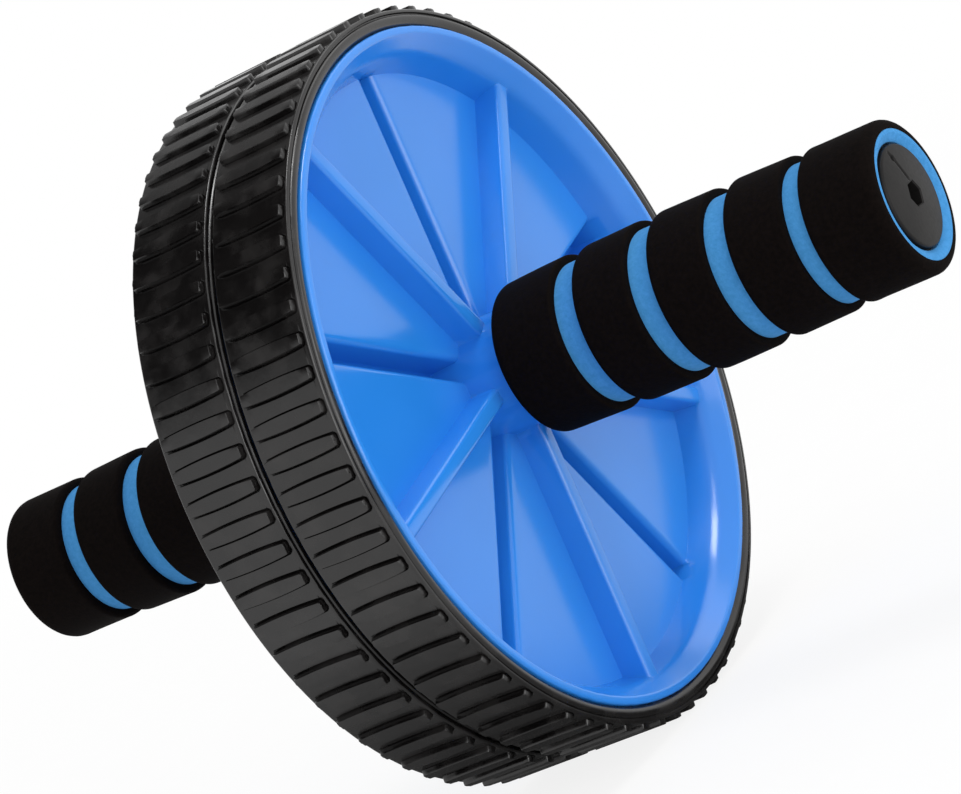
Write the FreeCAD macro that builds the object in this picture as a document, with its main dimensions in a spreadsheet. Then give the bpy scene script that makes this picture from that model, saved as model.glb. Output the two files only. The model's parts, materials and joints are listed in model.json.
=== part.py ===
import FreeCAD, Part
import os
import Sketcher
from FreeCAD import Placement, Rotation, Vector

# Ab wheel roller: two tyred wheels turn freely, side by side, on one steel rod.
# A handle core with a foam grip is pressed on each end of the rod.
# The rod lies along Y through the origin, +Z is up and +X is the rolling direction.
# The right side is -Y. Each piece of a side is drawn along its own +Z, from the middle outwards.

# Driving lengths, in millimetres.
LENGTHS = {
    # wheel moulding
    "rim_width": 23.0,
    "wheel_gap": 0.8,
    "lip_width": 1.9,
    "flare_width": 3.6,
    "flare_depth": 4.3,
    "flare_round": 6.0,
    "rim_foot": 7.8,
    "dish_depth": 11.2,
    "web_thickness": 5.0,
    "boss_radius": 15.4,
    "boss_draft": 0.7,
    "boss_height": 7.7,
    "rib_height": 6.9,
    "rib_width": 4.4,
    "rib_root": 3.4,
    "furrow_radius": 2.75,
    "furrow_gap": 0.6,
    # tyre
    "tyre_radius": 90.0,
    "tyre_thickness": 5.7,
    "tyre_inset": 0.2,
    "bead_bevel": 1.1,
    "shoulder_drop": 2.6,
    "shoulder_run": 0.9,
    "shoulder_groove_width": 0.7,
    "shoulder_groove_depth": 0.9,
    "tread_bar_top": 3.2,
    "tread_bar_foot": 5.0,
    "tread_bar_height": 1.0,
    "tread_bar_root": 0.8,
    "tread_bar_inset": 1.4,
    # rod and what turns on it
    "rod_radius": 6.0,
    "rod_chamfer": 0.8,
    "running_clearance": 0.05,
    "spacer_radius": 11.0,
    "spacer_clearance": 0.1,
    "washer_radius": 11.0,
    "washer_thickness": 0.8,
    "thrust_clearance": 0.2,
    # handle core and end cap
    "core_radius": 13.7,
    "cap_thickness": 2.0,
    "cap_recess": 0.6,
    "spigot_length": 5.0,
    "rod_end_gap": 0.5,
    "hex_across_corners": 6.2,
    # foam grip
    "grip_setback": 2.2,
    "grip_length": 105.9,
    "inner_foam": 5.9,
    "outer_foam": 4.75,
    "foam_skin": 0.9,
    "nose_length": 5.0,
    "ring_width": 6.0,
    "inner_ring_inset": 22.1,
    "outer_ring_inset": 20.8,
    "end_bevel_length": 1.5,
    "end_bevel_depth": 0.8,
    "end_dish": 0.45,
}

# Roundings and bevels, as shares of the wall that each one sits on.
SHARES = {
    "lip_round_share": 0.4,
    "foot_round_share": 0.12,
    "rib_round_share": 0.2,
    "nose_round_share": 0.8,
    "band_bevel_share": 0.6,
    "end_bevel_share": 0.6,
    "cap_bevel_share": 0.25,
}

COUNTS = {
    "tall_rib_count": 5,
    "tread_bar_count": 72,
}
BAND_COUNT = 5

# How near an edge lies to the place where it is looked for.
EDGE_TOLERANCE = 0.001

# Each side's turn about X, which lays its +Z along the rod, and its wheel's turn on the rod, in degrees.
SIDES = {
    "right": {"lay": 90, "wheel_turn": -45.0},
    "left": {"lay": -90, "wheel_turn": -46.2},
}

doc = FreeCAD.newDocument("AbWheelRoller")
sheet = doc.addObject("Spreadsheet::Sheet", "Sizes")
for row, (alias, number) in enumerate({**LENGTHS, **SHARES, **COUNTS}.items(), start=1):
    sheet.set(f"A{row}", alias)
    sheet.set(f"B{row}", str(number))
    sheet.setAlias(f"B{row}", alias)
doc.recompute()


class Size:
    """A size known both as a number and as an expression on the sheet."""

    def __init__(self, value, text):
        self.value = value
        self.text = text

    def __add__(self, other):
        return Size(self.value + other.value, f"({self.text} + {other.text})")

    def __sub__(self, other):
        return Size(self.value - other.value, f"({self.text} - {other.text})")

    def __mul__(self, other):
        return Size(self.value * other.value, f"({self.text} * {other.text})")

    def __truediv__(self, other):
        return Size(self.value / other.value, f"({self.text} / {other.text})")

    def times(self, count):
        return Size(self.value * count, f"({self.text} * {count})")

    def over(self, count):
        return Size(self.value / count, f"({self.text} / {count})")

    def half(self):
        return self.over(2)


def size(alias):
    return Size(float(sheet.get(alias)), f"{sheet.Name}.{alias}")


# Stations along the rod, measured from the middle of the roller outwards.
rim_back = size("wheel_gap").half()
rim_face = rim_back + size("rim_width")
flare_start = rim_face - size("flare_depth")
floor_face = rim_face - size("dish_depth")
web_back = floor_face - size("web_thickness")
boss_face = floor_face + size("boss_height")
rib_top = floor_face + size("rib_height")
tyre_back = rim_back + size("tyre_inset")
tyre_face = rim_face - size("tyre_inset")
washer_start = boss_face + size("thrust_clearance")
core_start = washer_start + size("washer_thickness")
grip_start = core_start + size("grip_setback")
grip_end = grip_start + size("grip_length")
cap_face = grip_end - size("cap_recess")
core_end = cap_face - size("cap_thickness")
spigot_start = core_end - size("spigot_length")
rod_end = spigot_start - size("rod_end_gap")

# Radii that several pieces share.
hub_bore = size("rod_radius") + size("running_clearance")
rim_radius = size("tyre_radius") - size("tyre_thickness")
floor_radius = rim_radius - size("rim_foot")
lip_radius = rim_radius - size("lip_width")
flare_radius = lip_radius - size("flare_width")
grip_inner_radius = size("core_radius") + size("inner_foam")
grip_outer_radius = size("core_radius") + size("outer_foam")

# The grip tapers from its inner end to the middle of its last ring, and is straight from there to its end.
taper_end = grip_end - size("outer_ring_inset")


def grip_radius(station):
    if station.value >= taper_end.value:
        return grip_outer_radius
    along = (station - grip_start) / (taper_end - grip_start)
    return grip_inner_radius - (grip_inner_radius - grip_outer_radius) * along


def sleeve_radius(station):
    return grip_radius(station) - size("foam_skin")


def origin_feature(body, role):
    return next(feature for feature in body.Origin.OriginFeatures if feature.Role == role)


def new_body(label):
    body = doc.addObject("PartDesign::Body", label)
    body.Label = label
    return body


def new_sketch(body, name, role):
    sketch = body.newObject("Sketcher::SketchObject", f"{body.Name}_{name}")
    sketch.AttachmentSupport = [(origin_feature(body, role), "")]
    sketch.MapMode = "FlatFace"
    return sketch


def bind(sketch, constraint, length):
    """Add a constraint whose datum follows an expression on the sheet."""
    index = sketch.addConstraint(constraint)
    sketch.setExpression(f"Constraints[{index}]", length.text)


def add_outline(sketch, points):
    """Closed outline through points, each pinned to the sketch's origin by its two sizes."""
    corners = [Vector(across.value, along.value, 0) for across, along in points]
    for start, end in zip(corners, corners[1:] + corners[:1]):
        sketch.addGeometry(Part.LineSegment(start, end), False)
    for line, (across, along) in enumerate(points):
        following = (line + 1) % len(points)
        sketch.addConstraint(Sketcher.Constraint("Coincident", line, 2, following, 1))
        bind(sketch, Sketcher.Constraint("DistanceX", -1, 1, line, 1, across.value), across)
        bind(sketch, Sketcher.Constraint("DistanceY", -1, 1, line, 1, along.value), along)


def add_strip(sketch, start, end, width, end_width):
    """Strip from start to end along the sketch's vertical axis and centred on it, tapering to its end width."""
    side = width.value / 2
    end_side = end_width.value / 2
    corners = [
        Vector(-side, start.value, 0),
        Vector(side, start.value, 0),
        Vector(end_side, end.value, 0),
        Vector(-end_side, end.value, 0),
    ]
    for line in range(4):
        sketch.addGeometry(Part.LineSegment(corners[line], corners[(line + 1) % 4]), False)
    for line in range(4):
        sketch.addConstraint(Sketcher.Constraint("Coincident", line, 2, (line + 1) % 4, 1))
    sketch.addConstraint(Sketcher.Constraint("Symmetric", 0, 1, 0, 2, -2))
    sketch.addConstraint(Sketcher.Constraint("Symmetric", 2, 1, 2, 2, -2))
    bind(sketch, Sketcher.Constraint("DistanceX", 0, 1, 0, 2, width.value), width)
    bind(sketch, Sketcher.Constraint("DistanceX", 2, 2, 2, 1, end_width.value), end_width)
    bind(sketch, Sketcher.Constraint("DistanceY", -1, 1, 0, 1, start.value), start)
    bind(sketch, Sketcher.Constraint("DistanceY", -1, 1, 2, 1, end.value), end)


def add_hexagon(sketch, across_corners):
    """Regular hexagon about the sketch's origin, with two corners on the horizontal axis."""
    reach = across_corners.value / 2
    corners = [Rotation(Vector(0, 0, 1), 60 * turn).multVec(Vector(reach, 0, 0)) for turn in range(6)]
    for line in range(6):
        sketch.addGeometry(Part.LineSegment(corners[line], corners[(line + 1) % 6]), False)
    circle = sketch.addGeometry(Part.Circle(Vector(0, 0, 0), Vector(0, 0, 1), reach), True)
    sketch.addConstraint(Sketcher.Constraint("Coincident", circle, 3, -1, 1))
    for line in range(6):
        sketch.addConstraint(Sketcher.Constraint("Coincident", line, 2, (line + 1) % 6, 1))
        sketch.addConstraint(Sketcher.Constraint("PointOnObject", line, 1, circle))
    for line in range(1, 6):
        sketch.addConstraint(Sketcher.Constraint("Equal", 0, line))
    sketch.addConstraint(Sketcher.Constraint("PointOnObject", 0, 1, -1))
    bind(sketch, Sketcher.Constraint("Diameter", circle, across_corners.value), across_corners)


def add_circle(sketch, radius, center):
    circle = sketch.addGeometry(Part.Circle(center, Vector(0, 0, 1), radius.value), False)
    bind(sketch, Sketcher.Constraint("Radius", circle, radius.value), radius)
    return circle


def add_centred_circle(sketch, radius):
    circle = add_circle(sketch, radius, Vector(0, 0, 0))
    sketch.addConstraint(Sketcher.Constraint("Coincident", circle, 3, -1, 1))


def pad(body, name, sketch, length):
    solid = body.newObject("PartDesign::Pad", f"{body.Name}_{name}")
    solid.Profile = sketch
    solid.setExpression("Length", length.text)
    doc.recompute()
    return solid


def revolve(body, points):
    """Solid of revolution about the body's Z axis from an outline of radius and station pairs."""
    sketch = new_sketch(body, "section", "XZ_Plane")
    add_outline(sketch, points)
    solid = body.newObject("PartDesign::Revolution", f"{body.Name}_revolution")
    solid.Profile = sketch
    solid.ReferenceAxis = (sketch, ["V_Axis"])
    solid.Angle = 360
    doc.recompute()
    return solid


def ring_edges(body, rings):
    """Names of the circular edges that lie at the given radius and station pairs."""
    names = []
    for number, edge in enumerate(body.Tip.Shape.Edges, start=1):
        if not isinstance(edge.Curve, Part.Circle):
            continue
        for ring_radius, station in rings:
            at_station = abs(edge.Curve.Center.z - station.value) < EDGE_TOLERANCE
            if at_station and abs(edge.Curve.Radius - ring_radius.value) < EDGE_TOLERANCE:
                names.append(f"Edge{number}")
    return names


def round_edges(body, name, names, radius):
    dress_edges(body, "PartDesign::Fillet", name, names, "Radius", radius)


def bevel_edges(body, name, names, depth):
    dress_edges(body, "PartDesign::Chamfer", name, names, "Size", depth)


def dress_edges(body, kind, name, names, driven, length):
    if not names:
        raise RuntimeError(f"{body.Label}: no edge found for {name}")
    base = body.Tip
    feature = body.newObject(kind, f"{body.Name}_{name}")
    feature.Base = (base, names)
    feature.setExpression(driven, length.text)
    doc.recompute()


def cut(body, name, sketch, depth, outward):
    """Pocket of the given depth; a pocket that removes nothing is an error."""
    before = body.Shape.Volume
    pocket = body.newObject("PartDesign::Pocket", f"{body.Name}_{name}")
    pocket.Profile = sketch
    pocket.Reversed = outward
    pocket.setExpression("Length", depth.text)
    doc.recompute()
    if not body.Shape.Volume < before:
        raise RuntimeError(f"{body.Label}: {name} cuts nothing")
    return pocket


def repeat(body, feature, count_alias):
    """Copies of a feature, evenly spaced about the body's Z axis."""
    pattern = body.newObject("PartDesign::PolarPattern", f"{feature.Name}_ring")
    pattern.Originals = [feature]
    pattern.Axis = (origin_feature(body, "Z_Axis"), [""])
    pattern.Angle = 360
    pattern.setExpression("Occurrences", f"{sheet.Name}.{count_alias}")
    body.Tip = pattern
    doc.recompute()
    return pattern


def tube(label, inner, outer, start, end):
    body = new_body(label)
    revolve(body, [(inner, start), (outer, start), (outer, end), (inner, end)])
    return body


def wheel_disc(label):
    """One moulding: hub boss, web dished in a flared rim, tall ribs and furrows between them."""
    body = new_body(label)
    boss_top = size("boss_radius") - size("boss_draft")
    revolve(body, [
        (hub_bore, rim_back),
        (size("boss_radius"), rim_back),
        (size("boss_radius"), web_back),
        (floor_radius, web_back),
        (lip_radius, rim_back),
        (rim_radius, rim_back),
        (rim_radius, rim_face),
        (lip_radius, rim_face),
        (flare_radius, flare_start),
        (floor_radius, floor_face),
        (size("boss_radius"), floor_face),
        (boss_top, boss_face),
        (hub_bore, boss_face),
    ])
    lip_rings = [(lip_radius, rim_face), (rim_radius, rim_face)]
    lip_round = size("lip_width") * size("lip_round_share")
    round_edges(body, "lip_round", ring_edges(body, lip_rings), lip_round)
    flare_ring = [(flare_radius, flare_start)]
    round_edges(body, "flare_round", ring_edges(body, flare_ring), size("flare_round"))
    foot_round = size("rim_foot") * size("foot_round_share")
    round_edges(body, "foot_round", ring_edges(body, [(floor_radius, floor_face)]), foot_round)
    add_ribs(body)
    add_furrows(body, foot_round)
    return body


def add_ribs(body):
    """Tall ribs from inside the boss to inside the rim, with rounded crests."""
    sketch = new_sketch(body, "rib_plan", "XY_Plane")
    sketch.setExpression("AttachmentOffset.Base.z", web_back.text)
    add_strip(sketch, size("boss_radius") - size("rib_root"), lip_radius, size("rib_width"), size("rib_width"))
    rib = pad(body, "rib", sketch, rib_top - web_back)
    ribs = repeat(body, rib, "tall_rib_count")
    crests = []
    for number, edge in enumerate(ribs.Shape.Edges, start=1):
        middle = edge.BoundBox.Center
        off_axis = Vector(middle.x, middle.y, 0).Length > size("boss_radius").value
        at_top = abs(edge.BoundBox.ZMin - rib_top.value) < EDGE_TOLERANCE
        level = edge.BoundBox.ZLength < EDGE_TOLERANCE
        if off_axis and at_top and level and isinstance(edge.Curve, Part.Line):
            crests.append(f"Edge{number}")
    round_edges(body, "rib_round", crests, size("rib_width") * size("rib_round_share"))


def add_furrows(body, foot_round):
    """Round-bottomed radial furrows in the web's outer face, each half-way between two ribs."""
    sketch = new_sketch(body, "furrow_section", "XZ_Plane")
    furrow_start = size("boss_radius") + size("furrow_gap")
    furrow_end = floor_radius - foot_round
    sketch.setExpression("AttachmentOffset.Base.z", furrow_start.text)
    circle = add_circle(sketch, size("furrow_radius"), Vector(0, floor_face.value, 0))
    sketch.addConstraint(Sketcher.Constraint("PointOnObject", circle, 3, -2))
    bind(sketch, Sketcher.Constraint("DistanceY", -1, 1, circle, 3, floor_face.value), floor_face)
    furrow = cut(body, "furrow", sketch, furrow_end - furrow_start, True)
    repeat(body, furrow, "tall_rib_count")


def tyre(label):
    """Rubber tyre bonded on the rim, with grooved shoulders and raised bars across the tread."""
    body = new_body(label)
    tread_base = size("tyre_radius") - size("tread_bar_height")
    side_top = size("tyre_radius") - size("shoulder_drop")
    groove_bottom = side_top + size("shoulder_groove_width").half()
    groove_top = side_top + size("shoulder_groove_width")
    bead_radius = rim_radius + size("bead_bevel")
    half_depth = size("shoulder_groove_depth").half()
    revolve(body, [
        (rim_radius, tyre_back + size("bead_bevel")),
        (bead_radius, tyre_back),
        (side_top, tyre_back),
        (groove_bottom, tyre_back + size("shoulder_groove_depth")),
        (groove_top, tyre_back + half_depth),
        (tread_base, tyre_back + size("shoulder_run")),
        (tread_base, tyre_face - size("shoulder_run")),
        (groove_top, tyre_face - half_depth),
        (groove_bottom, tyre_face - size("shoulder_groove_depth")),
        (side_top, tyre_face),
        (bead_radius, tyre_face),
        (rim_radius, tyre_face - size("bead_bevel")),
    ])
    add_tread_bars(body, tread_base)
    return body


def add_tread_bars(body, tread_base):
    """Bars with sloping flanks, let into the tyre below the tread."""
    before = body.Shape.Volume
    sketch = new_sketch(body, "bar_section", "XY_Plane")
    bar_start = tyre_back + size("tread_bar_inset")
    bar_end = tyre_face - size("tread_bar_inset")
    sketch.setExpression("AttachmentOffset.Base.z", bar_start.text)
    bar_root = tread_base - size("tread_bar_root")
    add_strip(sketch, bar_root, size("tyre_radius"), size("tread_bar_foot"), size("tread_bar_top"))
    bar = pad(body, "tread_bar", sketch, bar_end - bar_start)
    if not body.Shape.Volume > before:
        raise RuntimeError(f"{body.Label}: the tread bar adds nothing")
    repeat(body, bar, "tread_bar_count")


def band_stations():
    """Start and end of each black band, from the inner end of the grip to its outer end."""
    first_ring = grip_start + size("inner_ring_inset")
    ring_pitch = (taper_end - first_ring).over(BAND_COUNT - 2)
    stations = [grip_start]
    for ring in range(BAND_COUNT - 1):
        centre = first_ring + ring_pitch.times(ring)
        stations += [centre - size("ring_width").half(), centre + size("ring_width").half()]
    stations.append(grip_end)
    return list(zip(stations[0::2], stations[1::2]))


nose_end = grip_start + size("nose_length")
bevel_start = grip_end - size("end_bevel_length")
sleeve_end_radius = sleeve_radius(grip_end) - size("end_bevel_depth")


def grip_sleeve(label):
    """Blue foam sleeve on the handle core; it shows in the rings between the bands and at the end."""
    body = new_body(label)
    revolve(body, [
        (size("core_radius"), nose_end),
        (sleeve_radius(nose_end), nose_end),
        (sleeve_radius(taper_end), taper_end),
        (sleeve_radius(bevel_start), bevel_start),
        (sleeve_end_radius, grip_end),
        (size("core_radius"), grip_end - size("end_dish")),
    ])
    return body


def grip_band(label, start, end):
    """Black foam band round the sleeve; the first closes over the sleeve's inner end as a rounded nose."""
    body = new_body(label)
    points = [(grip_radius(start), start), (grip_radius(end), end)]
    if end is grip_end:
        points += [(sleeve_end_radius, end), (sleeve_radius(bevel_start), bevel_start)]
    else:
        points.append((sleeve_radius(end), end))
    if start is grip_start:
        points += [
            (sleeve_radius(nose_end), nose_end),
            (size("core_radius"), nose_end),
            (size("core_radius"), start),
        ]
    else:
        points.append((sleeve_radius(start), start))
    revolve(body, points)
    start_ring = [(grip_radius(start), start)]
    end_ring = [(grip_radius(end), end)]
    bevel = size("foam_skin") * size("band_bevel_share")
    if start is grip_start:
        nose_round = size("nose_length") * size("nose_round_share")
        round_edges(body, "nose_round", ring_edges(body, start_ring), nose_round)
    else:
        bevel_edges(body, "start_bevel", ring_edges(body, start_ring), bevel)
    if end is grip_end:
        bevel = (size("foam_skin") + size("end_bevel_depth")) * size("end_bevel_share")
    bevel_edges(body, "end_bevel", ring_edges(body, end_ring), bevel)
    return body


def end_cap(label):
    """Plug in the outer end of the core: a disc, a spigot in the bore and a hexagonal hole through both."""
    body = new_body(label)
    disc_plan = new_sketch(body, "disc_plan", "XY_Plane")
    disc_plan.setExpression("AttachmentOffset.Base.z", core_end.text)
    add_centred_circle(disc_plan, size("core_radius"))
    pad(body, "disc", disc_plan, size("cap_thickness"))
    spigot_plan = new_sketch(body, "spigot_plan", "XY_Plane")
    spigot_plan.setExpression("AttachmentOffset.Base.z", spigot_start.text)
    add_centred_circle(spigot_plan, size("rod_radius"))
    pad(body, "spigot", spigot_plan, size("spigot_length"))
    rim_bevel = size("cap_thickness") * size("cap_bevel_share")
    bevel_edges(body, "rim_bevel", ring_edges(body, [(size("core_radius"), cap_face)]), rim_bevel)
    hole_plan = new_sketch(body, "hole_plan", "XY_Plane")
    hole_plan.setExpression("AttachmentOffset.Base.z", cap_face.text)
    add_hexagon(hole_plan, size("hex_across_corners"))
    cut(body, "hole", hole_plan, cap_face - spigot_start, False)
    return body


def axle_rod(label):
    body = new_body(label)
    plan = new_sketch(body, "plan", "XY_Plane")
    add_centred_circle(plan, size("rod_radius"))
    rod = pad(body, "length", plan, rod_end.times(2))
    rod.SideType = "Symmetric"
    doc.recompute()
    rod_edges = enumerate(rod.Shape.Edges, start=1)
    rims = [f"Edge{number}" for number, edge in rod_edges if isinstance(edge.Curve, Part.Circle)]
    bevel_edges(body, "end_chamfer", rims, size("rod_chamfer"))
    return body


def centre_spacer(label):
    """Thin ring on the rod that keeps the two hubs apart."""
    body = new_body(label)
    plan = new_sketch(body, "plan", "XY_Plane")
    add_centred_circle(plan, hub_bore)
    add_centred_circle(plan, size("spacer_radius"))
    ring = pad(body, "thickness", plan, size("wheel_gap") - size("spacer_clearance").times(2))
    ring.SideType = "Symmetric"
    doc.recompute()
    return body


def lay_along_rod(body, lay, turn=0):
    """Lay a piece's own Z along the rod, after a turn about it."""
    rotation = Rotation(Vector(1, 0, 0), lay) * Rotation(Vector(0, 0, 1), turn)
    body.Placement = Placement(Vector(0, 0, 0), rotation)
    return body


pieces = [
    lay_along_rod(axle_rod("axle_rod"), SIDES["left"]["lay"]),
    lay_along_rod(centre_spacer("centre_spacer"), SIDES["left"]["lay"]),
]
for side, turns in SIDES.items():
    wheel = [wheel_disc(f"{side}_wheel_disc"), tyre(f"{side}_tyre")]
    pieces += [lay_along_rod(body, turns["lay"], turns["wheel_turn"]) for body in wheel]
    handle = [
        tube(f"{side}_thrust_washer", hub_bore, size("washer_radius"), washer_start, core_start),
        tube(f"{side}_handle_core", size("rod_radius"), size("core_radius"), core_start, core_end),
        grip_sleeve(f"{side}_grip_sleeve"),
        end_cap(f"{side}_end_cap"),
    ]
    for number, (start, end) in enumerate(band_stations(), start=1):
        handle.append(grip_band(f"{side}_grip_band_{number}", start, end))
    pieces += [lay_along_rod(body, turns["lay"]) for body in handle]
doc.recompute()

faults = [item.Name for item in doc.Objects if "Invalid" in item.State or "Error" in item.State]
if faults:
    raise RuntimeError(f"failed objects: {faults}")
for piece in pieces:
    if piece.Shape.isNull() or not piece.Shape.isValid() or len(piece.Shape.Solids) != 1:
        raise RuntimeError(f"bad shape: {piece.Label}")

os.makedirs("parts", exist_ok=True)
for piece in pieces:
    piece.Shape.exportStep(f"parts/{piece.Label}.step")
    box = piece.Shape.BoundBox
    print(f"{piece.Label}: {piece.Shape.Volume / 1000:.2f} cm3, Y {box.YMin:.2f} to {box.YMax:.2f}")
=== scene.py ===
import json
import math

import bmesh
import bpy
from mathutils import Matrix, Vector, noise


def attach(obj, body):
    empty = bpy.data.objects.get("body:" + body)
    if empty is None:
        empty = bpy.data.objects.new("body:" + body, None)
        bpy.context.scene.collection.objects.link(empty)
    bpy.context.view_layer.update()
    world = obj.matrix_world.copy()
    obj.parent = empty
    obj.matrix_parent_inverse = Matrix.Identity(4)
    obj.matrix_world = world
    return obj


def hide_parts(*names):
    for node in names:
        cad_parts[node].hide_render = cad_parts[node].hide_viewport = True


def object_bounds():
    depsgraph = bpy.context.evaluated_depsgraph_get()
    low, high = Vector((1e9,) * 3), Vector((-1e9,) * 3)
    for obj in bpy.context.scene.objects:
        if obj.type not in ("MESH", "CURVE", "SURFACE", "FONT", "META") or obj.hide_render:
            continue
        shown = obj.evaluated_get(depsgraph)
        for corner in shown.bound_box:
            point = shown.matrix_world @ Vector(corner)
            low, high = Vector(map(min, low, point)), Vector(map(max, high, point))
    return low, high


# Ab wheel roller: two tyred wheels on one rod, with a banded foam grip on each end.
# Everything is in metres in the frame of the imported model: the rod lies along Y and +Z is up.
# A station is a distance along the rod from the middle. An angle is seen from -Y, from +X towards +Z.
MM = 0.001
SIDES = {"right": -1, "left": 1}
BANDS = 5
ROUND_STEPS = 6
SHARP_DEG = 40

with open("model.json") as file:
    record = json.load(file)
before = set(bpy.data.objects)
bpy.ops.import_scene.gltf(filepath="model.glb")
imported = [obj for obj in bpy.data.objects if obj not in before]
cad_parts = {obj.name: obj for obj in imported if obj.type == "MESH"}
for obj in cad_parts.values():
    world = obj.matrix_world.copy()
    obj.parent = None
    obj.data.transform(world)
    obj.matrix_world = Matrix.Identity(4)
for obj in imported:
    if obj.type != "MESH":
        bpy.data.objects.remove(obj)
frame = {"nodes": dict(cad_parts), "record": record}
cad_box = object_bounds()


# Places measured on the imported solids

def profile_of(node):
    """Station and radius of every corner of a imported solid."""
    corners = [vertex.co for vertex in frame["nodes"][node].data.vertices]
    return [(abs(corner.y), math.hypot(corner.x, corner.z)) for corner in corners]


def span_of(node):
    """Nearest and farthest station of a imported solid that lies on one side."""
    stations = [station for station, radius in profile_of(node)]
    return min(stations), max(stations)


def radii_of(node):
    """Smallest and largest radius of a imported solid."""
    radii = [radius for station, radius in profile_of(node)]
    return min(radii), max(radii)


# Sections and meshes

def place(station, radius, angle, sign):
    """Point at a station, a radius and an angle on the side of the given sign."""
    return Vector((radius * math.cos(angle), sign * station, radius * math.sin(angle)))


def ease(share):
    """Smooth step from zero to one."""
    share = min(max(share, 0.0), 1.0)
    return share * share * (3 - 2 * share)


def rounded(corners, steps=ROUND_STEPS):
    """Section through corners given as station, radius and round; a round of zero leaves a corner sharp."""
    points = []
    for index, (station, radius, turn) in enumerate(corners):
        if turn == 0.0:
            points.append((station, radius))
            continue
        here = Vector((station, radius))
        back = (Vector(corners[index - 1][:2]) - here).normalized()
        ahead = (Vector(corners[(index + 1) % len(corners)][:2]) - here).normalized()
        half = back.angle(ahead) / 2
        centre = here + (back + ahead).normalized() * turn / math.sin(half)
        first = here + back * turn / math.tan(half) - centre
        last = here + ahead * turn / math.tan(half) - centre
        start = math.atan2(first.y, first.x)
        sweep = (math.atan2(last.y, last.x) - start + math.pi) % math.tau - math.pi
        for step in range(steps + 1):
            angle = start + sweep * step / steps
            points.append((centre.x + turn * math.cos(angle), centre.y + turn * math.sin(angle)))
    return points


def subdivided(points, spacing):
    """The same open section with no stretch longer than the spacing."""
    result = []
    for (here, radius), (there, next_radius) in zip(points, points[1:]):
        pieces = max(1, math.ceil(math.hypot(there - here, next_radius - radius) / spacing))
        for step in range(pieces):
            share = step / pieces
            result.append((here + (there - here) * share, radius + (next_radius - radius) * share))
    return result + [points[-1]]


def ring_mesh(name, columns):
    """Closed ring from columns of points, each a closed section; sharp corners stay sharp in the shading."""
    mesh = bmesh.new()
    grid = [[mesh.verts.new(point) for point in column] for column in columns]
    for here, there in zip(grid, grid[1:] + grid[:1]):
        for low, high in zip(range(len(here)), list(range(1, len(here))) + [0]):
            mesh.faces.new((here[low], here[high], there[high], there[low]))
    bmesh.ops.recalc_face_normals(mesh, faces=mesh.faces)
    for face in mesh.faces:
        face.smooth = True
    for edge in mesh.edges:
        edge.smooth = edge.calc_face_angle(0.0) < math.radians(SHARP_DEG)
    data = bpy.data.meshes.new(name)
    mesh.to_mesh(data)
    mesh.free()
    piece = bpy.data.objects.new(name, data)
    bpy.context.scene.collection.objects.link(piece)
    return piece


def dress(piece, node, slot, body):
    """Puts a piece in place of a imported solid, with its material, on its moving body."""
    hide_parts(node)
    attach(piece, body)
    piece.data.materials.append(materials[slot])


# Tyres

BAR_COUNT = 72
BAR_TURN_DEG = {"right": 0.0, "left": 1.2}
BAR_HEIGHT = 1.35 * MM
BAR_HALF_MIDDLE = 1.68 * MM
BAR_HALF_END = 1.30 * MM
BAR_INSET = 1.7 * MM
BAR_CORNER = 0.5 * MM
BAR_FLANK = 0.3 * MM
FLANK_SHARES = (-0.45, 0.0, 0.25, 0.5, 0.75, 1.0)
SLIT_OFFSET = 0.36 * MM
SLIT_HALF_WIDTH = 0.26 * MM
SLIT_DEPTH = 0.5 * MM
SLIT_SHARES = (0.0, 0.5, 1.0)
SLIT_FADE = 1.4 * MM
BAR_ROWS = 14
BEAD_BEVEL = 1.1 * MM
SIDEWALL_BULGE = 0.15 * MM
SIDEWALL_DROP = 1.6 * MM
GROOVE_WIDTH = 0.7 * MM
GROOVE_DEPTH = 0.9 * MM
LAND_DEPTH = 0.4 * MM
SHOULDER_RUN = 0.8 * MM


def shoulder(base, rim_radius):
    """Section from the rim seat over one shoulder to the tread's base, as depth from the face and radius."""
    side_top = base - SIDEWALL_DROP
    side_low = rim_radius + BEAD_BEVEL
    groove_top = side_top + GROOVE_WIDTH
    return [
        (BEAD_BEVEL, rim_radius),
        (BEAD_BEVEL / 3, side_low - BEAD_BEVEL / 3),
        (SIDEWALL_BULGE, side_low),
        (0.0, (side_low + side_top) / 2),
        (SIDEWALL_BULGE / 2, side_top - GROOVE_WIDTH / 2),
        (SIDEWALL_BULGE * 2, side_top),
        (GROOVE_DEPTH, side_top + GROOVE_WIDTH / 3),
        (GROOVE_DEPTH, side_top + GROOVE_WIDTH * 2 / 3),
        (LAND_DEPTH, groove_top),
        (LAND_DEPTH, base - LAND_DEPTH),
        ((LAND_DEPTH + SHOULDER_RUN) / 2, base - LAND_DEPTH / 4),
        (SHOULDER_RUN, base),
    ]


def bar_half_width(along, half_length):
    """Half the width of a bar's top, widest in the middle of the tread."""
    share = min(abs(along) / half_length, 1.0)
    return BAR_HALF_MIDDLE + (BAR_HALF_END - BAR_HALF_MIDDLE) * share * share


def bar_lift(across, along, half_length, sign):
    """Height of the tread over its base, with a slit round each bar that fades at the bar's +Y end."""
    dx = abs(across) - bar_half_width(along, half_length) + BAR_CORNER
    dy = abs(along) - half_length + BAR_CORNER
    outside = math.hypot(max(dx, 0.0), max(dy, 0.0)) + min(max(dx, dy), 0.0) - BAR_CORNER
    slit = SLIT_DEPTH * ease(1 - abs(outside - SLIT_OFFSET) / SLIT_HALF_WIDTH)
    slit *= ease((half_length - sign * along) / SLIT_FADE)
    return BAR_HEIGHT * ease(1 - outside / BAR_FLANK) - slit


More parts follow.
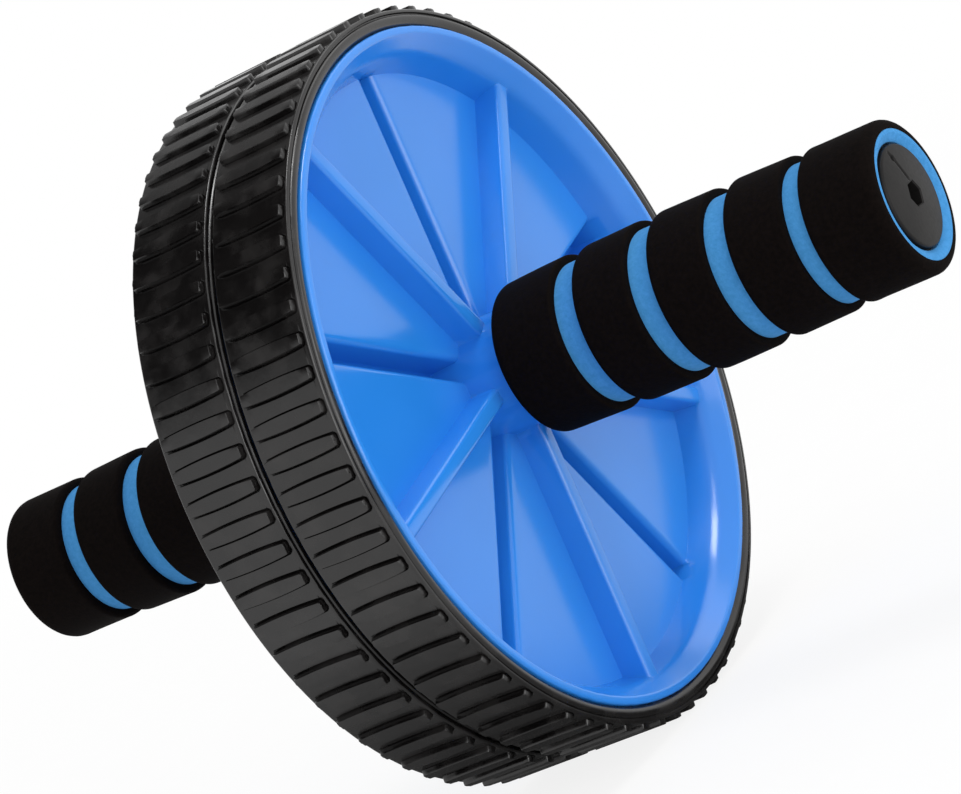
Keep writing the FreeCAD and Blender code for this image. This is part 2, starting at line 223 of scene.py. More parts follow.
def tyre(side):
    """Tyre with raised bars across the tread and a thin groove in each shoulder."""
    node = f"{side}_tyre"
    start, end = span_of(node)
    rim_radius, radius = radii_of(node)
    base = radius - BAR_HEIGHT
    middle = (start + end) / 2
    half_length = (end - start) / 2 - BAR_INSET
    flank = [BAR_FLANK * share for share in FLANK_SHARES]
    flank += [SLIT_OFFSET + SLIT_HALF_WIDTH * share for share in SLIT_SHARES]
    bar_ends = [half_length + offset for offset in flank]
    between = [(half_length + 2 * flank[0]) * (2 * row / BAR_ROWS - 1) for row in range(BAR_ROWS + 1)]
    rows = [(along, None) for along in [-reach for reach in reversed(bar_ends)] + between + bar_ends]
    low = [(start + depth - middle, reach) for depth, reach in shoulder(base, rim_radius)]
    high = [(end - depth - middle, reach) for depth, reach in reversed(shoulder(base, rim_radius))]
    half_pitch = math.pi * radius / BAR_COUNT
    outlines = [(-1, offset) for offset in reversed(flank)] + [(0, 0.0)] + [(1, offset) for offset in flank]
    columns = []
    for bar in range(BAR_COUNT):
        turn = math.radians(BAR_TURN_DEG[side]) + math.tau * bar / BAR_COUNT
        for hand, offset in outlines + [(None, half_pitch)]:
            column = []
            for along, reach in low + rows + high:
                across = offset if hand is None else hand * (bar_half_width(along, half_length) + offset)
                if reach is None:
                    reach = base + bar_lift(across, along, half_length, SIDES[side])
                column.append(place(middle + along, reach, turn + across / radius, SIDES[side]))
            columns.append(column)
    dress(ring_mesh(f"{side}_tread_tyre", columns), node, "tyre_rubber", f"{side}_wheel")


# Wheels

RIB_COUNT = 5
RIB_TURN_DEG = {"right": 45.0, "left": -43.8}
RIB_HALF_WIDTH = 2.2 * MM
RIB_HEIGHT = 6.9 * MM
RIB_DRAFT = 0.25 * MM
RIB_ROUND = 1.2 * MM
FURROW_HALF_WIDTH = 2.5 * MM
FURROW_DEPTH = 9.5 * MM
FURROW_DRAFT = 0.5 * MM
FURROW_ROUND = 1.6 * MM
FURROW_EDGE = 1.6 * MM
FURROW_END = 0.15 * MM
FURROW_WALL = 1.5 * MM
PLAIN_MARGIN = 1.2 * MM
PLAIN_COLUMNS = 8
DISH_DEPTH = 11.2 * MM
WEB_THICKNESS = 5.0 * MM
BOSS_RADIUS = 14.5 * MM
BOSS_DRAFT = 0.2 * MM
BOSS_HEIGHT = 7.7 * MM
BOSS_ROUND = 0.15 * MM
COLLAR_HEIGHT = 2.7 * MM
COLLAR_CLEARANCE = 0.25 * MM
RIM_FOOT = 7.8 * MM
FLARE_DEPTH = 4.3 * MM
FLARE_WIDTH = 3.6 * MM
FLARE_ROUND = 8.5 * MM
LIP_WIDTH = 1.9 * MM
LIP_ROUND = 0.75 * MM
BACK_ROUND = 0.5 * MM
BORE_ROUND = 0.3 * MM
FRONT_SPACING = 1.8 * MM
BACK_SPACING = 7.0 * MM
BACK_STEPS = 3


def line_columns(line, outline):
    """Columns beside one radial line, at the offsets and heights of an outline."""
    return [((line, offset), (line, offset), 0.0, height) for offset, height in outline]


def plain_columns(first, second):
    """Columns of the plain web, shared out between two edges."""
    return [(first, second, step / PLAIN_COLUMNS, 0.0) for step in range(1, PLAIN_COLUMNS)]


def mirrored(outline):
    """The same outline on the other side of its line."""
    return [(-offset, height) for offset, height in reversed(outline)]


def wheel_columns(turn):
    """Columns round the wheel, each with two lines and offsets, a share between them and a height.

    The height over the web is that of a rib, negative in a furrow and zero where the web is plain.
    """
    rib = rounded([
        (0.0, RIB_HEIGHT, 0.0),
        (RIB_HALF_WIDTH, RIB_HEIGHT, RIB_ROUND),
        (RIB_HALF_WIDTH + RIB_DRAFT, 0.0, 0.0),
        (RIB_HALF_WIDTH + RIB_DRAFT + PLAIN_MARGIN, 0.0, 0.0),
    ])
    furrow = rounded([
        (0.0, -FURROW_DEPTH, 0.0),
        (FURROW_HALF_WIDTH - FURROW_DRAFT, -FURROW_DEPTH, FURROW_ROUND),
        (FURROW_HALF_WIDTH, 0.0, FURROW_EDGE),
        (FURROW_HALF_WIDTH + FURROW_EDGE + PLAIN_MARGIN, 0.0, 0.0),
    ])
    rib_edge = rib[-1][0]
    furrow_edge = furrow[-1][0]
    pitch = math.tau / RIB_COUNT
    columns = []
    for number in range(RIB_COUNT):
        here = turn + pitch * number
        middle = here + pitch / 2
        following = here + pitch
        columns += line_columns(here, rib)
        columns += plain_columns((here, rib_edge), (middle, -furrow_edge))
        columns += line_columns(middle, mirrored(furrow) + furrow[1:])
        columns += plain_columns((middle, furrow_edge), (following, -rib_edge))
        columns += line_columns(following, mirrored(rib[1:]))
    return columns


def wheel_disc(side):
    """Dished wheel with ribs and furrows between a flared rim and a boss whose collar reaches to the grip."""
    node = f"{side}_wheel_disc"
    back, face = span_of(node)
    bore, rim = radii_of(node)
    middle = (face + back) / 2
    floor = face - DISH_DEPTH
    web_back = floor - WEB_THICKNESS
    boss_top = BOSS_RADIUS - BOSS_DRAFT
    boss_face = floor + BOSS_HEIGHT
    collar_face = boss_face + COLLAR_HEIGHT
    collar_bore = radii_of(f"{side}_handle_core")[1] + COLLAR_CLEARANCE
    floor_radius = rim - RIM_FOOT
    lip_radius = rim - LIP_WIDTH
    front = subdivided(rounded([
        (middle, bore, 0.0),
        (boss_face, bore, BORE_ROUND),
        (boss_face, collar_bore, 0.0),
        (collar_face, collar_bore, 0.0),
        (collar_face, boss_top, BOSS_ROUND),
        (floor, BOSS_RADIUS, 0.0),
        (floor, floor_radius, 0.0),
        (face - FLARE_DEPTH, lip_radius - FLARE_WIDTH, FLARE_ROUND),
        (face, lip_radius, LIP_ROUND),
        (face, rim, LIP_ROUND),
        (middle, rim, 0.0),
    ]), FRONT_SPACING)
    rear = subdivided(rounded([
        (middle, rim, 0.0),
        (back, rim, BACK_ROUND),
        (back, lip_radius, BACK_ROUND),
        (web_back, floor_radius, BACK_ROUND),
        (web_back, BOSS_RADIUS, BACK_ROUND),
        (back, BOSS_RADIUS, BACK_ROUND),
        (back, bore, BORE_ROUND),
        (middle, bore, 0.0),
    ], steps=BACK_STEPS), BACK_SPACING)[1:-1]
    hollow = (floor - FURROW_DEPTH - FURROW_WALL - back) / (web_back - back)
    columns = []
    for first, second, share, height in wheel_columns(math.radians(RIB_TURN_DEG[side])):
        column = []
        for station, radius in front + rear:
            reach = max(radius, BOSS_RADIUS)
            angles = [centre + math.asin(offset / reach) for centre, offset in (first, second)]
            in_front = len(column) < len(front)
            on_web = in_front and boss_top <= radius <= lip_radius
            behind = not in_front and BOSS_RADIUS - BACK_ROUND <= radius <= lip_radius
            if on_web and height > 0.0:
                station = max(station, floor + height)
            if on_web and height < 0.0:
                inner_end = ease((radius - BOSS_RADIUS + FURROW_END) / FURROW_END)
                station += height * inner_end * ease((floor_radius + FURROW_END - radius) / FURROW_END)
            if behind and height < 0.0:
                station = back + (station - back) * hollow
            column.append(place(station, radius, angles[0] + (angles[1] - angles[0]) * share, SIDES[side]))
        columns.append(column)
    dress(ring_mesh(f"{side}_ribbed_wheel", columns), node, "blue_plastic", f"{side}_wheel")


# Foam grips

GRIP_TURNS = 144
FOAM_SKIN = 2.0 * MM
# Thickness of the foam over the core, by share of the grip's length from its inner end
FOAM_SWELL = [
    (0.0, 4.85 * MM),
    (0.065, 5.15 * MM),
    (0.12, 5.35 * MM),
    (0.25, 5.65 * MM),
    (0.37, 5.75 * MM),
    (0.5, 5.65 * MM),
    (0.65, 5.35 * MM),
    (0.76, 5.1 * MM),
    (0.85, 4.8 * MM),
    (1.0, 4.75 * MM),
]
NOSE_SETBACK = 0.9 * MM
LAST_BAND_REACH = {"right": 1.3 * MM, "left": 0.3 * MM}
NOSE_ROUND = 2.2 * MM
BAND_ROUND = 1.3 * MM
BAND_END_ROUND = 0.6 * MM
BAND_SPACING = 1.3 * MM
END_ROUND = 2.4 * MM
RING_OUTER_RADIUS = 15.7 * MM
RING_LIP_RADIUS = 14.7 * MM
RING_INNER_RADIUS = 12.9 * MM
RING_SLOPE = 1.2 * MM
RING_ROUND = 0.3 * MM
FOAM_WAVE = 0.10 * MM
FOAM_WAVE_SCALE = 70.0


def foam_profile(side, core_radius):
    """Outer radius of a grip's foam by station; the foam is thickest a little inside the middle."""
    start = span_of(f"{side}_grip_band_1")[0]
    end = span_of(f"{side}_grip_band_{BANDS}")[1]

    def radius_at(station):
        share = min((station - start) / (end - start), 1.0)
        for (low, thin), (high, thick) in zip(FOAM_SWELL, FOAM_SWELL[1:]):
            if share <= high:
                return core_radius + thin + (thick - thin) * (share - low) / (high - low)
        return core_radius + FOAM_SWELL[-1][1]

    return radius_at


def foam_rows(start, end, radius_at, depth):
    """Points along the foam between two stations, a depth under its outside."""
    count = math.ceil((end - start) / BAND_SPACING)
    stations = [start + (end - start) * (row + 0.5) / count for row in range(count)]
    return [(station, radius_at(station) - depth, 0.0) for station in stations]


def turned_foam(name, section, side, core_radius):
    """Ring turned from one section, with a gently uneven outside and a round bore."""
    columns = []
    for turn in range(GRIP_TURNS):
        angle = math.tau * turn / GRIP_TURNS
        column = []
        for station, radius in section:
            spot = place(station, radius, angle, SIDES[side]) * FOAM_WAVE_SCALE
            lift = FOAM_WAVE * noise.noise(spot) if radius > core_radius + FOAM_SKIN else 0.0
            column.append(place(station, radius + lift, angle, SIDES[side]))
        columns.append(column)
    return ring_mesh(name, columns)


def grip_band(side, number, core_radius):
    """Black foam band; the first one closes the grip's inner end and the last one rounds its outer end."""
    node = f"{side}_grip_band_{number}"
    radius_at = foam_profile(side, core_radius)
    first = number == 1
    last = number == BANDS
    start, end = span_of(node)
    start += NOSE_SETBACK if first else -LAST_BAND_REACH[side] if last else 0.0
    start_round = NOSE_ROUND if first else BAND_ROUND
    end_round = END_ROUND if last else BAND_END_ROUND
    section = rounded([
        (start, core_radius if first else radius_at(start) - FOAM_SKIN, 0.0),
        (start, radius_at(start), start_round),
        *foam_rows(start + start_round, end - end_round, radius_at, 0.0),
        (end, radius_at(end), end_round),
        (end, RING_OUTER_RADIUS if last else radius_at(end) - FOAM_SKIN, 0.0),
    ])
    if first:
        sleeve_start = span_of(f"{side}_grip_sleeve")[0]
        section += [(sleeve_start, radius_at(sleeve_start) - FOAM_SKIN), (sleeve_start, core_radius)]
    if last:
        section += [(end - END_ROUND, radius_at(end) - FOAM_SKIN)]
    piece = turned_foam(f"{side}_foam_band_{number}", section, side, core_radius)
    dress(piece, node, "black_foam", "handle")


def grip_sleeve(side, core_radius):
    """Blue foam sleeve under the bands; it shows between them and as a ring round the end cap."""
    node = f"{side}_grip_sleeve"
    radius_at = foam_profile(side, core_radius)
    start, end = span_of(node)
    core_end = span_of(f"{side}_handle_core")[1]
    section = rounded([
        (start, core_radius, 0.0),
        *foam_rows(start, end - END_ROUND, radius_at, FOAM_SKIN),
        (end, RING_OUTER_RADIUS, RING_ROUND),
        (end, RING_LIP_RADIUS, RING_ROUND),
        (end - RING_SLOPE, RING_INNER_RADIUS, RING_ROUND),
        (core_end, RING_INNER_RADIUS, 0.0),
        (core_end, core_radius, 0.0),
    ])
    piece = turned_foam(f"{side}_foam_sleeve", section, side, core_radius)
    dress(piece, node, "blue_foam", "handle")


# End caps

CAP_TURNS = 360
CAP_RADIUS = 12.4 * MM
CAP_PROUD = 0.2 * MM
CAP_CROWN = 0.9 * MM
CAP_ROUND = 0.8 * MM
CAP_ROWS = 30
CAP_RIM_SHARE = 0.9
HEX_SIDES = 6
HEX_ACROSS_CORNERS = 6.2 * MM
HEX_BEVEL = 0.3 * MM
# Places on a cap's face, as X and Z
MARK_LINE = [(-1.6 * MM, 10.9 * MM), (-1.2 * MM, 9.35 * MM), (0.2 * MM, 3.7 * MM)]
MARK_PIT = (-1.2 * MM, 9.35 * MM)
MARK_WIDTH = 0.3 * MM
MARK_DEPTH = 0.4 * MM
PIT_WIDTH = 0.6 * MM
PIT_DEPTH = 1.6 * MM


def mark_depth(spot):
    """Depth of the moulding mark: a thin line that runs towards the hole through a small pit."""
    depth = PIT_DEPTH * math.exp(-((spot - Vector(MARK_PIT)).length / PIT_WIDTH) ** 4)
    for here, there in zip(MARK_LINE, MARK_LINE[1:]):
        here = Vector(here)
        along = Vector(there) - here
        share = min(max((spot - here).dot(along) / along.length_squared, 0.0), 1.0)
        distance = (spot - here - along * share).length
        depth = max(depth, MARK_DEPTH * math.exp(-(distance / MARK_WIDTH) ** 2))
    return depth


def end_cap(side):
    """Domed cap with a hex hole and a moulding mark, on the spigot that holds it in the core."""
    node = f"{side}_end_cap"
    spigot_end, face = span_of(node)
    core_end = span_of(f"{side}_handle_core")[1]
    spigot_radius = radii_of("axle_rod")[1]
    low = face + CAP_PROUD

    def dome(radius):
        return low + CAP_CROWN * (1 - (radius / CAP_RADIUS) ** 2)

    edge = CAP_RADIUS - CAP_ROUND
    half_side = math.pi / HEX_SIDES
    columns = []
    for turn in range(CAP_TURNS):
        angle = math.tau * turn / CAP_TURNS
        flat = angle % (2 * half_side) - half_side
        hole = HEX_ACROSS_CORNERS / 2 * math.cos(half_side) / math.cos(flat)
        column = [
            place(spigot_end, hole, angle, SIDES[side]),
            place(dome(hole) - HEX_BEVEL, hole, angle, SIDES[side]),
        ]
        for row in range(CAP_ROWS + 1):
            radius = hole + HEX_BEVEL + (edge - hole - HEX_BEVEL) * row / CAP_ROWS
            spot = Vector((radius * math.cos(angle), radius * math.sin(angle)))
            column.append(place(dome(radius) - mark_depth(spot), radius, angle, SIDES[side]))
        rim = rounded([
            (dome(edge), edge, 0.0),
            (dome(CAP_RADIUS), CAP_RADIUS, CAP_ROUND * CAP_RIM_SHARE),
            (core_end, CAP_RADIUS, 0.0),
            (core_end, spigot_radius, 0.0),
            (spigot_end, spigot_radius, 0.0),
        ])[1:]
        column += [place(station, radius, angle, SIDES[side]) for station, radius in rim]
        columns.append(column)
    dress(ring_mesh(f"{side}_domed_cap", columns), node, "black_plastic", "handle")


# Materials. Colours are linear, and the scale of a pattern is in cycles or cells per metre.

BLUE_MIDDLE = (0.023, 0.225, 0.72)
BLUE_DARK = (0.020, 0.218, 0.70)
BLUE_LIGHT = (0.026, 0.232, 0.74)
BLUE_IOR = 1.58
RUBBER_MIDDLE = (0.009, 0.008, 0.008)
RUBBER_DARK = (0.0046, 0.0040, 0.0040)
RUBBER_LIGHT = (0.0150, 0.0136, 0.0133)
RUBBER_SPECULAR = 0.6
BLACK_FOAM_DARK = (0.0020, 0.0012, 0.0010)
BLACK_FOAM_LIGHT = (0.0046, 0.0029, 0.0024)
BLUE_FOAM_DARK = (0.049, 0.240, 0.53)
BLUE_FOAM_LIGHT = (0.066, 0.280, 0.61)
BLUE_FOAM_SHEEN = 0.05
FOAM_SPECULAR = 0.06
SHEEN_TINT = (0.6, 0.8, 1.0)
SHEEN_ROUGHNESS = 0.5
BLACK_MIDDLE = (0.013, 0.012, 0.012)
BLACK_DARK = (0.0090, 0.0085, 0.0082)
BLACK_LIGHT = (0.0125, 0.0117, 0.0113)
BLACK_SPECULAR = 0.13
STEEL_MIDDLE = (0.56, 0.56, 0.57)
STEEL_DARK = (0.50, 0.50, 0.51)
STEEL_LIGHT = (0.62, 0.62, 0.63)
STEEL_STRETCH = (40.0, 1.0, 40.0)
NYLON_MIDDLE = (0.72, 0.70, 0.65)
NYLON_DARK = (0.68, 0.66, 0.61)
NYLON_LIGHT = (0.75, 0.73, 0.68)


def new_material(name, colour):
    """Material with a plain colour for the viewport, its nodes and its main shader."""
    material = bpy.data.materials.new(name)
    material.use_nodes = True
    material.diffuse_color = (*colour, 1.0)
    tree = material.node_tree
    return material, tree, tree.nodes["Principled BSDF"]


def add_noise(tree, scale, detail=4.0, roughness=0.5, stretch=None):
    """Noise on the piece's own coordinates, with its scale stretched by axis if asked."""
    coordinates = tree.nodes.new("ShaderNodeTexCoord")
    texture = tree.nodes.new("ShaderNodeTexNoise")
    texture.inputs["Scale"].default_value = scale
    texture.inputs["Detail"].default_value = detail
    texture.inputs["Roughness"].default_value = roughness
    output = coordinates.outputs["Object"]
    if stretch:
        mapping = tree.nodes.new("ShaderNodeMapping")
        mapping.inputs["Scale"].default_value = stretch
        tree.links.new(output, mapping.inputs["Vector"])
        output = mapping.outputs["Vector"]
    tree.links.new(output, texture.inputs["Vector"])
    return texture.outputs["Fac"]


def add_cells(tree, scale):
    """Cell pattern on the piece's own coordinates."""
    coordinates = tree.nodes.new("ShaderNodeTexCoord")
    texture = tree.nodes.new("ShaderNodeTexVoronoi")
    texture.inputs["Scale"].default_value = scale
    tree.links.new(coordinates.outputs["Object"], texture.inputs["Vector"])
    return texture.outputs["Distance"]


def blend_colours(tree, factor, low, high, stops=(0.35, 0.65)):
    """Colour that goes from low to high as the factor passes the two stops."""
    ramp = tree.nodes.new("ShaderNodeValToRGB")
    for element, stop, colour in zip(ramp.color_ramp.elements, stops, (low, high)):
        element.position = stop
        element.color = (*colour, 1.0)
    tree.links.new(factor, ramp.inputs["Fac"])
    return ramp.outputs["Color"]


def spread(tree, factor, low, high, start=0.0, end=1.0):
    """Maps a value between start and end to one between low and high."""
    span = tree.nodes.new("ShaderNodeMapRange")
    span.inputs["From Min"].default_value = start
    span.inputs["From Max"].default_value = end
    span.inputs["To Min"].default_value = low
    span.inputs["To Max"].default_value = high
    tree.links.new(factor, span.inputs["Value"])
    return span.outputs["Result"]


def combine(tree, operation, first, second):
    """Result of one operation on two values, each a number or another node's output."""
    node = tree.nodes.new("ShaderNodeMath")
    node.operation = operation
    for socket, value in zip(node.inputs, (first, second)):
        if isinstance(value, float):
            socket.default_value = value
        else:
            tree.links.new(value, socket)
    return node.outputs[0]


def add_bump(tree, height, distance, strength, under=None):
    """Normal from a height pattern, over another bump if one is given."""
    bump = tree.nodes.new("ShaderNodeBump")
    bump.inputs["Distance"].default_value = distance
    bump.inputs["Strength"].default_value = strength
    tree.links.new(height, bump.inputs["Height"])
    if under:
        tree.links.new(under, bump.inputs["Normal"])
    return bump.outputs["Normal"]


def join(tree, shader, colour, roughness, normal):
    """Links a finished colour, roughness and normal to the main shader."""
    tree.links.new(colour, shader.inputs["Base Color"])
    tree.links.new(roughness, shader.inputs["Roughness"])
    tree.links.new(normal, shader.inputs["Normal"])


def blue_plastic():
    """Glossy moulded plastic with slow flow marks under a very fine grain."""
    material, tree, shader = new_material("blue_plastic", BLUE_MIDDLE)
    flow = add_noise(tree, scale=22.0, detail=2.0)
    colour = blend_colours(tree, flow, BLUE_DARK, BLUE_LIGHT)
    roughness = spread(tree, add_noise(tree, scale=300.0), low=0.14, high=0.24)
    wave = add_bump(tree, flow, distance=0.4 * MM, strength=0.25)
    grain = add_bump(tree, add_noise(tree, scale=1400.0), distance=0.02 * MM, strength=0.25, under=wave)
    join(tree, shader, colour, roughness, grain)
    shader.inputs["IOR"].default_value = BLUE_IOR
    return material


def tyre_rubber():
    """Satin black rubber, duller and paler in patches."""
    material, tree, shader = new_material("tyre_rubber", RUBBER_MIDDLE)
    patches = add_noise(tree, scale=120.0, detail=6.0)
    colour = blend_colours(tree, patches, RUBBER_DARK, RUBBER_LIGHT, stops=(0.45, 0.72))
    roughness = spread(tree, patches, low=0.14, high=0.34, start=0.35, end=0.65)
    coarse = add_bump(tree, add_noise(tree, scale=700.0, detail=5.0), distance=0.06 * MM, strength=0.3)
    fine = add_bump(tree, add_noise(tree, scale=2600.0), distance=0.02 * MM, strength=0.3, under=coarse)
    join(tree, shader, colour, roughness, fine)
    shader.inputs["Specular IOR Level"].default_value = RUBBER_SPECULAR
    return material


def foam(name, dark, light, sheen=0.0):
    """Matte closed-cell foam with speckles and pores."""
    material, tree, shader = new_material(name, light)
    speckle = add_noise(tree, scale=900.0, detail=5.0, roughness=0.65)
    colour = blend_colours(tree, speckle, dark, light)
    roughness = spread(tree, speckle, low=0.85, high=0.98)
    pores = add_bump(tree, add_cells(tree, scale=1500.0), distance=0.10 * MM, strength=0.4)
    dents = add_bump(tree, add_noise(tree, scale=350.0), distance=0.15 * MM, strength=0.3, under=pores)
    join(tree, shader, colour, roughness, dents)
    shader.inputs["Specular IOR Level"].default_value = FOAM_SPECULAR
    shader.inputs["Sheen Weight"].default_value = sheen
    shader.inputs["Sheen Roughness"].default_value = SHEEN_ROUGHNESS
    shader.inputs["Sheen Tint"].default_value = (*SHEEN_TINT, 1.0)
    return material


def black_plastic():
    """Satin black plastic with a fine moulded grain."""
    material, tree, shader = new_material("black_plastic", BLACK_MIDDLE)
    grain = add_noise(tree, scale=1100.0, detail=5.0)
    colour = blend_colours(tree, add_noise(tree, scale=160.0), BLACK_DARK, BLACK_LIGHT)
    roughness = spread(tree, grain, low=0.36, high=0.5)
    join(tree, shader, colour, roughness, add_bump(tree, grain, distance=0.05 * MM, strength=0.4))
    shader.inputs["Specular IOR Level"].default_value = BLACK_SPECULAR
    return material


def steel():
    """Bright steel with lines drawn along the rod."""
    material, tree, shader = new_material("steel", STEEL_MIDDLE)
    drawn = add_noise(tree, scale=60.0, detail=8.0, stretch=STEEL_STRETCH)
    colour = blend_colours(tree, drawn, STEEL_DARK, STEEL_LIGHT)
    roughness = spread(tree, drawn, low=0.22, high=0.36)
    join(tree, shader, colour, roughness, add_bump(tree, drawn, distance=0.02 * MM, strength=0.3))
    shader.inputs["Metallic"].default_value = 1.0
    return material


def washer_nylon():
    """Plain off-white nylon."""
    material, tree, shader = new_material("washer_nylon", NYLON_MIDDLE)
    cloud = add_noise(tree, scale=200.0)
    colour = blend_colours(tree, cloud, NYLON_DARK, NYLON_LIGHT)
    roughness = spread(tree, cloud, low=0.4, high=0.55)
    join(tree, shader, colour, roughness, add_bump(tree, cloud, distance=0.05 * MM, strength=0.2))
    return material


# Studio. Mirror values are what glossy surfaces see of the floor and the background.

FLOOR_HALF = 8.0
FLOOR_MIDDLE = (0.87, 0.87, 0.87)
FLOOR_DARK = (0.86, 0.86, 0.86)
FLOOR_LIGHT = (0.88, 0.88, 0.88)
FLOOR_GRAIN_SCALE = 40.0
FLOOR_ROUGHNESS = 0.9
FLOOR_GLOW = 0.85
FLOOR_FADE_START = 0.25
FLOOR_FADE_END = 0.9
# Painted shadow: mirrors see the floor close to the roller as a dim glow, which brightens to white between
# these two distances
MIRROR_PAINTED_SHADOW = 0.08
MIRROR_SHADOW_FADE_START = 0.05
MIRROR_SHADOW_FADE_END = 0.18
AMBIENT = 0.74
SKY_MIRROR = 0.02
SKY_FADE_START = 0.38
SKY_FADE_END = 0.6
TOP_MIRROR = 0.36
TOP_FADE_START = 0.05
TOP_FADE_END = 0.4
TENT_MIRROR = 1.0
TENT_FRONT = -0.25
TENT_BACK = 0.05
LAMPS = {
    "front": {"toward": (-0.3, -0.94, 0.12), "distance": 1.6, "size": 1.4, "level": 0.52},
    "side": {"toward": (-0.66, -0.74, 0.12), "distance": 1.6, "size": 0.7, "level": 0.08},
    "top": {"toward": (0.6, -0.2, 0.77), "distance": 1.4, "size": 0.8, "level": 0.10},
    "spot": {"toward": (0.07, -0.25, 0.96), "distance": 1.3, "size": 0.36, "level": 0.27},
    "small_spot": {"toward": (-0.173, -0.325, 0.931), "distance": 1.3, "size": 0.08, "level": 0.02},
}


def ray_kinds(tree):
    """Whether a ray comes from the camera, and whether it comes from a glossy or clear surface."""
    path = tree.nodes.new("ShaderNodeLightPath")
    mirror_ray = combine(tree, "MAXIMUM", path.outputs["Is Glossy Ray"], path.outputs["Is Transmission Ray"])
    return path.outputs["Is Camera Ray"], mirror_ray


def build_world():
    """White to the camera; mirrors see white low down and towards -Y, and a dimmer sky elsewhere."""
    world = bpy.data.worlds.new("studio")
    world.use_nodes = True
    tree = world.node_tree
    camera_ray, mirror_ray = ray_kinds(tree)
    coordinates = tree.nodes.new("ShaderNodeTexCoord")
    parts = tree.nodes.new("ShaderNodeSeparateXYZ")
    tree.links.new(coordinates.outputs["Generated"], parts.inputs["Vector"])
    horizon = spread(tree, parts.outputs["Z"], 1.0, SKY_MIRROR, SKY_FADE_START, SKY_FADE_END)
    tent = spread(tree, parts.outputs["Y"], TENT_MIRROR, 0.0, TENT_FRONT, TENT_BACK)
    top = spread(tree, parts.outputs["X"], 0.0, TOP_MIRROR, TOP_FADE_START, TOP_FADE_END)
    sky = combine(tree, "MAXIMUM", combine(tree, "MAXIMUM", horizon, tent), top)
    lit = combine(tree, "MAXIMUM", combine(tree, "MULTIPLY", mirror_ray, sky), camera_ray)
    falling = combine(tree, "SUBTRACT", 1.0, combine(tree, "MAXIMUM", mirror_ray, camera_ray))
    strength = combine(tree, "ADD", lit, combine(tree, "MULTIPLY", falling, AMBIENT))
    background = tree.nodes["Background"]
    background.inputs["Color"].default_value = (1.0, 1.0, 1.0, 1.0)
    tree.links.new(strength, background.inputs["Strength"])
    bpy.context.scene.world = world


def floor_material():
    """Pale to the lamps, with a glow that the camera and mirrors see; close to the roller, the dim glow that
    mirrors see is a painted shadow.
    """
    material, tree, shader = new_material("floor", FLOOR_MIDDLE)
    grain = add_noise(tree, scale=FLOOR_GRAIN_SCALE)
    tree.links.new(blend_colours(tree, grain, FLOOR_DARK, FLOOR_LIGHT), shader.inputs["Base Color"])
    shader.inputs["Roughness"].default_value = FLOOR_ROUGHNESS
    shader.inputs["Specular IOR Level"].default_value = 0.0
    coordinates = tree.nodes.new("ShaderNodeTexCoord")
    length = tree.nodes.new("ShaderNodeVectorMath")
    length.operation = "LENGTH"
    tree.links.new(coordinates.outputs["Object"], length.inputs[0])
    distance = length.outputs["Value"]
    camera_ray, mirror_ray = ray_kinds(tree)
    fade = spread(tree, distance, FLOOR_GLOW, 1.0, FLOOR_FADE_START, FLOOR_FADE_END)
    # Painted shadow round the roller, as mirrors see the floor
    mirror_painted_shadow = spread(tree, distance, MIRROR_PAINTED_SHADOW, 1.0, MIRROR_SHADOW_FADE_START, MIRROR_SHADOW_FADE_END)
    share = combine(tree, "MAXIMUM", combine(tree, "MULTIPLY", fade, camera_ray), mirror_ray)
    strength = combine(tree, "MAXIMUM", camera_ray, combine(tree, "MULTIPLY", mirror_ray, mirror_painted_shadow))
    glow = tree.nodes.new("ShaderNodeEmission")
    tree.links.new(strength, glow.inputs["Strength"])
    mix = tree.nodes.new("ShaderNodeMixShader")
    tree.links.new(share, mix.inputs["Fac"])
    tree.links.new(shader.outputs["BSDF"], mix.inputs[1])
    tree.links.new(glow.outputs["Emission"], mix.inputs[2])
    tree.links.new(mix.outputs["Shader"], tree.nodes["Material Output"].inputs["Surface"])
    return material


def build_floor():
    """Floor that keeps the roller's real shadow for the camera and fades to plain white away from it; mirrors
    see a painted shadow close by.
    """
    data = bpy.data.meshes.new("floor")
    corners = [(x * FLOOR_HALF, y * FLOOR_HALF, 0.0) for x, y in ((-1, -1), (1, -1), (1, 1), (-1, 1))]
    data.from_pydata(corners, [], [(0, 1, 2, 3)])
    floor = bpy.data.objects.new("floor", data)
    floor.location.z = cad_box[0].z
    bpy.context.scene.collection.objects.link(floor)
    data.materials.append(floor_material())


def build_lamps():
    """Soft lamps; a level of one shows a facing surface at its written colour."""
    for name, lamp in LAMPS.items():
        data = bpy.data.lights.new(name, "AREA")
        data.shape = "SQUARE"
        data.size = lamp["size"]
        data.energy = lamp["level"] * math.pi ** 2 * lamp["distance"] ** 2
        toward = Vector(lamp["toward"]).normalized()
        light = bpy.data.objects.new(name, data)
        light.location = toward * lamp["distance"]
        light.rotation_mode = "QUATERNION"
        light.rotation_quaternion = toward.to_track_quat("Z", "Y")
        bpy.context.scene.collection.objects.link(light)


# Camera, fitted to the photo

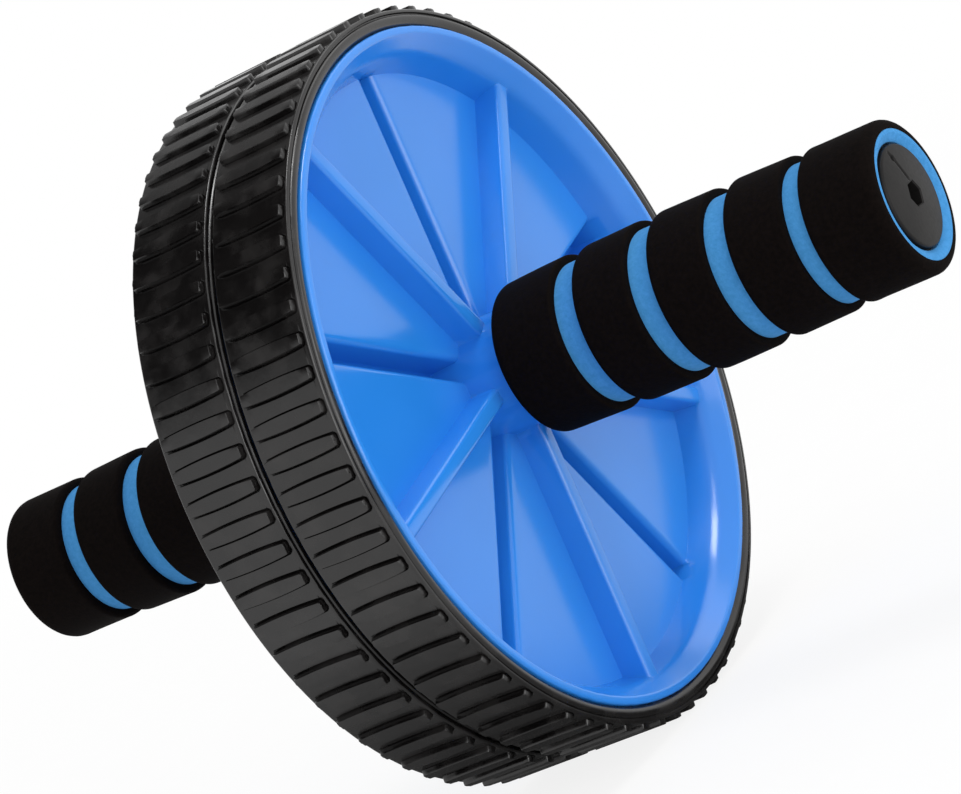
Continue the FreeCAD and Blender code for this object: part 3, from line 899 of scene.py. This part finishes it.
VIEW_AZIMUTH_DEG = -58.71
VIEW_ELEVATION_DEG = 8.0
VIEW_ROLL_DEG = 28.282
VIEW_DISTANCE = 1.024677
VIEW_AIM_RIGHT = 5.7885 * MM
VIEW_AIM_UP = -0.7687 * MM
LENS_MM = 162.66
SENSOR_MM = 36.0


def build_camera():
    """Looks from a distance past the origin, rolled as the photo is; the aim shifts it in its own plane."""
    azimuth = math.radians(VIEW_AZIMUTH_DEG)
    elevation = math.radians(VIEW_ELEVATION_DEG)
    roll = math.radians(VIEW_ROLL_DEG)
    across = math.cos(elevation)
    back = Vector((math.sin(azimuth) * across, -math.cos(azimuth) * across, math.sin(elevation)))
    level_right = Vector((math.cos(azimuth), math.sin(azimuth), 0.0))
    level_up = back.cross(level_right)
    right = level_right * math.cos(roll) - level_up * math.sin(roll)
    up = level_right * math.sin(roll) + level_up * math.cos(roll)
    data = bpy.data.cameras.new("camera")
    data.lens = LENS_MM
    data.sensor_width = SENSOR_MM
    camera = bpy.data.objects.new("camera", data)
    turn = Matrix((right, up, back)).transposed().to_4x4()
    spot = back * VIEW_DISTANCE + right * VIEW_AIM_RIGHT + up * VIEW_AIM_UP
    camera.matrix_world = Matrix.Translation(spot) @ turn
    bpy.context.scene.collection.objects.link(camera)
    bpy.context.scene.camera = camera


materials = {
    "blue_plastic": blue_plastic(),
    "tyre_rubber": tyre_rubber(),
    "black_foam": foam("black_foam", BLACK_FOAM_DARK, BLACK_FOAM_LIGHT),
    "blue_foam": foam("blue_foam", BLUE_FOAM_DARK, BLUE_FOAM_LIGHT, BLUE_FOAM_SHEEN),
    "black_plastic": black_plastic(),
    "steel": steel(),
    "washer_nylon": washer_nylon(),
}

for subpart in frame["record"]["subparts"]:
    node = frame["nodes"][subpart["node"]]
    node.data.materials.clear()
    node.data.materials.append(materials[subpart["material_slot"]])

for side in SIDES:
    core_radius = radii_of(f"{side}_handle_core")[1]
    wheel_disc(side)
    tyre(side)
    grip_sleeve(side, core_radius)
    for number in range(1, BANDS + 1):
        grip_band(side, number, core_radius)
    end_cap(side)

build_world()
build_floor()
build_lamps()
build_camera()
bpy.context.scene.view_settings.view_transform = "Standard"
